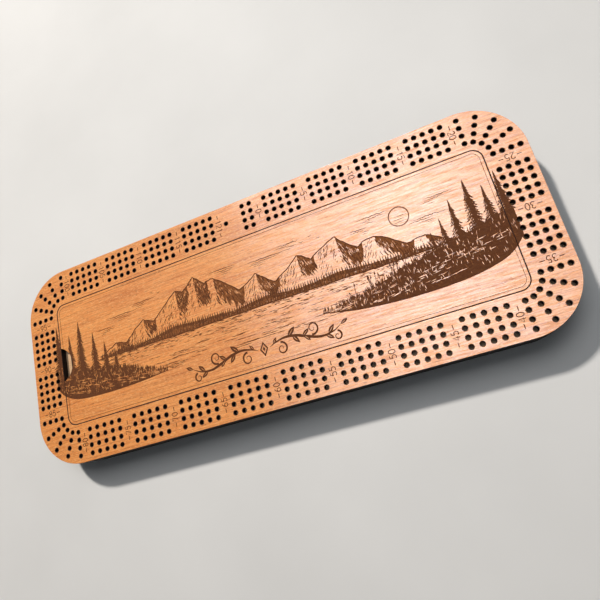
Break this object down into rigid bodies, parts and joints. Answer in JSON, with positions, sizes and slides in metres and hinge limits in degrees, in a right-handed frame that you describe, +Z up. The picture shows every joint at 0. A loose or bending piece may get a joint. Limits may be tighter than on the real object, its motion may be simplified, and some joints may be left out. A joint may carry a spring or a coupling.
{
  "type": "cribbage board box",
  "caption": "Long flat wooden box with rounded corners: a cribbage board with tracks of peg holes round a lift-out lid over a well for cards and pegs.",
  "frame": {"origin": "centre of the flat underside, where the board rests on a table", "axes": "+X along the board, away from the end with the finger notch; +Y across it, towards the long edge with the start and finish; +Z up"},
  "size_m": [0.4064, 0.1584, 0.0265],
  "materials": {
    "plain_ply": "bare faces, edges charred by the cut",
    "cherry_ply": "clear satin over cherry veneer, edges charred by the cut",
    "cards": "smooth coated card",
    "peg_red": "smooth and glossy",
    "peg_blue": "smooth and glossy",
    "peg_green": "smooth and glossy",
    "peg_yellow": "smooth and glossy"
  },
  "bodies": {
    "board": {"base_sheet": "plain_ply", "frame_lower": "plain_ply", "frame_middle": "plain_ply", "frame_upper": "plain_ply", "top_sheet": "cherry_ply"},
    "lid": {"lid_panel": "cherry_ply"},
    "deck": {"card_deck": "cards"},
    "peg_red_1": {"peg_red_1": "peg_red"},
    "peg_red_2": {"peg_red_2": "peg_red"},
    "peg_red_3": {"peg_red_3": "peg_red"},
    "peg_blue_1": {"peg_blue_1": "peg_blue"},
    "peg_blue_2": {"peg_blue_2": "peg_blue"},
    "peg_blue_3": {"peg_blue_3": "peg_blue"},
    "peg_green_1": {"peg_green_1": "peg_green"},
    "peg_green_2": {"peg_green_2": "peg_green"},
    "peg_green_3": {"peg_green_3": "peg_green"},
    "peg_yellow_1": {"peg_yellow_1": "peg_yellow"},
    "peg_yellow_2": {"peg_yellow_2": "peg_yellow"},
    "peg_yellow_3": {"peg_yellow_3": "peg_yellow"}
  },
  "joints": [
    {"name": "lid_lift", "type": "slide", "parent": "board", "child": "lid", "axis": [0, 0, 1], "range_m": [0, 0.09]},
    {"name": "deck_lift", "type": "slide", "parent": "board", "child": "deck", "axis": [0, 0, 1], "range_m": [0, 0.045]},
    {"name": "peg_red_1_lift", "type": "slide", "parent": "board", "child": "peg_red_1", "axis": [0, 0, 1], "range_m": [0, 0.027]},
    {"name": "peg_red_2_lift", "type": "slide", "parent": "board", "child": "peg_red_2", "axis": [0, 0, 1], "range_m": [0, 0.027]},
    {"name": "peg_red_3_lift", "type": "slide", "parent": "board", "child": "peg_red_3", "axis": [0, 0, 1], "range_m": [0, 0.027]},
    {"name": "peg_blue_1_lift", "type": "slide", "parent": "board", "child": "peg_blue_1", "axis": [0, 0, 1], "range_m": [0, 0.027]},
    {"name": "peg_blue_2_lift", "type": "slide", "parent": "board", "child": "peg_blue_2", "axis": [0, 0, 1], "range_m": [0, 0.027]},
    {"name": "peg_blue_3_lift", "type": "slide", "parent": "board", "child": "peg_blue_3", "axis": [0, 0, 1], "range_m": [0, 0.027]},
    {"name": "peg_green_1_lift", "type": "slide", "parent": "board", "child": "peg_green_1", "axis": [0, 0, 1], "range_m": [0, 0.027]},
    {"name": "peg_green_2_lift", "type": "slide", "parent": "board", "child": "peg_green_2", "axis": [0, 0, 1], "range_m": [0, 0.027]},
    {"name": "peg_green_3_lift", "type": "slide", "parent": "board", "child": "peg_green_3", "axis": [0, 0, 1], "range_m": [0, 0.027]},
    {"name": "peg_yellow_1_lift", "type": "slide", "parent": "board", "child": "peg_yellow_1", "axis": [0, 0, 1], "range_m": [0, 0.027]},
    {"name": "peg_yellow_2_lift", "type": "slide", "parent": "board", "child": "peg_yellow_2", "axis": [0, 0, 1], "range_m": [0, 0.027]},
    {"name": "peg_yellow_3_lift", "type": "slide", "parent": "board", "child": "peg_yellow_3", "axis": [0, 0, 1], "range_m": [0, 0.027]}
  ],
  "couplings": [
    {"joint": "deck_lift", "follows": "lid_lift", "ratio": 0.5},
    {"joint": "peg_red_1_lift", "follows": "lid_lift", "ratio": 0.3},
    {"joint": "peg_red_2_lift", "follows": "lid_lift", "ratio": 0.3},
    {"joint": "peg_red_3_lift", "follows": "lid_lift", "ratio": 0.3},
    {"joint": "peg_blue_1_lift", "follows": "lid_lift", "ratio": 0.3},
    {"joint": "peg_blue_2_lift", "follows": "lid_lift", "ratio": 0.3},
    {"joint": "peg_blue_3_lift", "follows": "lid_lift", "ratio": 0.3},
    {"joint": "peg_green_1_lift", "follows": "lid_lift", "ratio": 0.3},
    {"joint": "peg_green_2_lift", "follows": "lid_lift", "ratio": 0.3},
    {"joint": "peg_green_3_lift", "follows": "lid_lift", "ratio": 0.3},
    {"joint": "peg_yellow_1_lift", "follows": "lid_lift", "ratio": 0.3},
    {"joint": "peg_yellow_2_lift", "follows": "lid_lift", "ratio": 0.3},
    {"joint": "peg_yellow_3_lift", "follows": "lid_lift", "ratio": 0.3}
  ]
}
